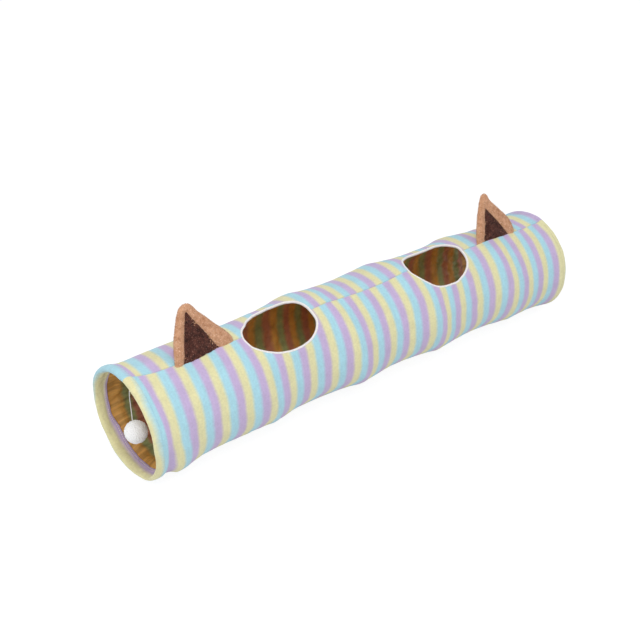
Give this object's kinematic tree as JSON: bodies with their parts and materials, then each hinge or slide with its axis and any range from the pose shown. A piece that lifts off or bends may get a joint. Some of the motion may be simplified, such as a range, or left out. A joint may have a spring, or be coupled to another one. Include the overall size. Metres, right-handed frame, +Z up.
{
  "type": "cat tunnel",
  "caption": "Collapsible striped plush cat tunnel on a coiled spring wire, with peep holes on top, plush ears and a ball on a string in one mouth.",
  "frame": {"origin": "middle of the tunnel's underside, on the floor, measured without the hanging ball", "axes": "+X along the tunnel from the mouth with the ball to the other mouth, +Z up, -Y the side that the ears face"},
  "size_m": [1.2535, 0.2488, 0.3539],
  "materials": {
    "plush_sleeve": "short plush in lilac, yellow and light blue stripes",
    "crinkle_lining": "thin crinkly golden brown lining with the stripes showing through",
    "white_binding": "folded white bias tape",
    "spring_steel": "drawn spring wire",
    "crimp_metal": "pressed sleeve",
    "plush_hem": "short striped plush turned over the end hoop",
    "white_thread": "white thread",
    "tan_plush": "tan short-pile plush",
    "brown_plush": "dark brown short-pile plush",
    "ear_interlining": "felted stiffener",
    "white_pompom": "white fluffy pompom"
  },
  "bodies": {
    "near_mouth": {"near_hem": "plush_hem", "near_hem_stitching": "white_thread", "near_crimp": "crimp_metal", "spring_wire": "spring_steel"},
    "bay_1": {"sleeve_bay_1": "plush_sleeve", "lining_bay_1": "crinkle_lining"},
    "bay_2": {"sleeve_bay_2": "plush_sleeve", "lining_bay_2": "crinkle_lining", "near_peep_binding": "white_binding"},
    "bay_3": {"sleeve_bay_3": "plush_sleeve", "lining_bay_3": "crinkle_lining"},
    "bay_4": {"sleeve_bay_4": "plush_sleeve", "lining_bay_4": "crinkle_lining", "far_peep_binding": "white_binding"},
    "bay_5": {"sleeve_bay_5": "plush_sleeve", "lining_bay_5": "crinkle_lining"},
    "far_mouth": {"far_hem": "plush_hem", "far_hem_stitching": "white_thread", "far_crimp": "crimp_metal"},
    "near_ear": {"near_ear_shell": "tan_plush", "near_ear_facing": "brown_plush", "near_ear_interlining": "ear_interlining"},
    "far_ear": {"far_ear_shell": "tan_plush", "far_ear_facing": "brown_plush", "far_ear_interlining": "ear_interlining"},
    "tack": {"string_tack": "white_thread"},
    "ball": {"ball_string": "white_thread", "hanging_ball": "white_pompom"}
  },
  "joints": [
    {"name": "collapse", "type": "slide", "parent": "near_mouth", "child": "far_mouth", "axis": [-1, 0, 0], "range_m": [0, 1.135], "stiffness_N_per_m": 8, "deforming": ["spring_wire", "sleeve_bay_1", "sleeve_bay_2", "sleeve_bay_3", "sleeve_bay_4", "sleeve_bay_5", "lining_bay_1", "lining_bay_2", "lining_bay_3", "lining_bay_4", "lining_bay_5", "near_peep_binding", "far_peep_binding", "near_ear_shell", "near_ear_facing", "near_ear_interlining", "far_ear_shell", "far_ear_facing", "far_ear_interlining"]},
    {"name": "bay_1_slide", "type": "slide", "parent": "near_mouth", "child": "bay_1", "axis": [-1, 0, 0], "range_m": [0, 0.1135]},
    {"name": "bay_2_slide", "type": "slide", "parent": "near_mouth", "child": "bay_2", "axis": [-1, 0, 0], "range_m": [0, 0.3405]},
    {"name": "bay_3_slide", "type": "slide", "parent": "near_mouth", "child": "bay_3", "axis": [-1, 0, 0], "range_m": [0, 0.5675]},
    {"name": "bay_4_slide", "type": "slide", "parent": "near_mouth", "child": "bay_4", "axis": [-1, 0, 0], "range_m": [0, 0.7945]},
    {"name": "bay_5_slide", "type": "slide", "parent": "near_mouth", "child": "bay_5", "axis": [-1, 0, 0], "range_m": [0, 1.0215]},
    {"name": "near_ear_fold", "type": "hinge", "parent": "bay_1", "child": "near_ear", "pos_m": [-0.449, -0.03759, 0.24361], "axis": [1, 0, 0], "range_deg": [-60, 70], "stiffness_Nm_per_rad": 0.08},
    {"name": "far_ear_fold", "type": "hinge", "parent": "bay_5", "child": "far_ear", "pos_m": [0.437, -0.03759, 0.24361], "axis": [1, 0, 0], "range_deg": [-60, 70], "stiffness_Nm_per_rad": 0.08},
    {"name": "ball_swing_along", "type": "hinge", "parent": "near_mouth", "child": "tack", "pos_m": [-0.6115, -0.02428, 0.23391], "axis": [0, 1, 0], "range_deg": [-45, 80]},
    {"name": "ball_swing_across", "type": "hinge", "parent": "tack", "child": "ball", "pos_m": [-0.6115, -0.02428, 0.23391], "axis": [1, 0, 0], "range_deg": [-18, 40]}
  ],
  "couplings": [
    {"joint": "bay_1_slide", "follows": "collapse", "ratio": 0.1},
    {"joint": "bay_2_slide", "follows": "collapse", "ratio": 0.3},
    {"joint": "bay_3_slide", "follows": "collapse", "ratio": 0.5},
    {"joint": "bay_4_slide", "follows": "collapse", "ratio": 0.7},
    {"joint": "bay_5_slide", "follows": "collapse", "ratio": 0.9}
  ]
}
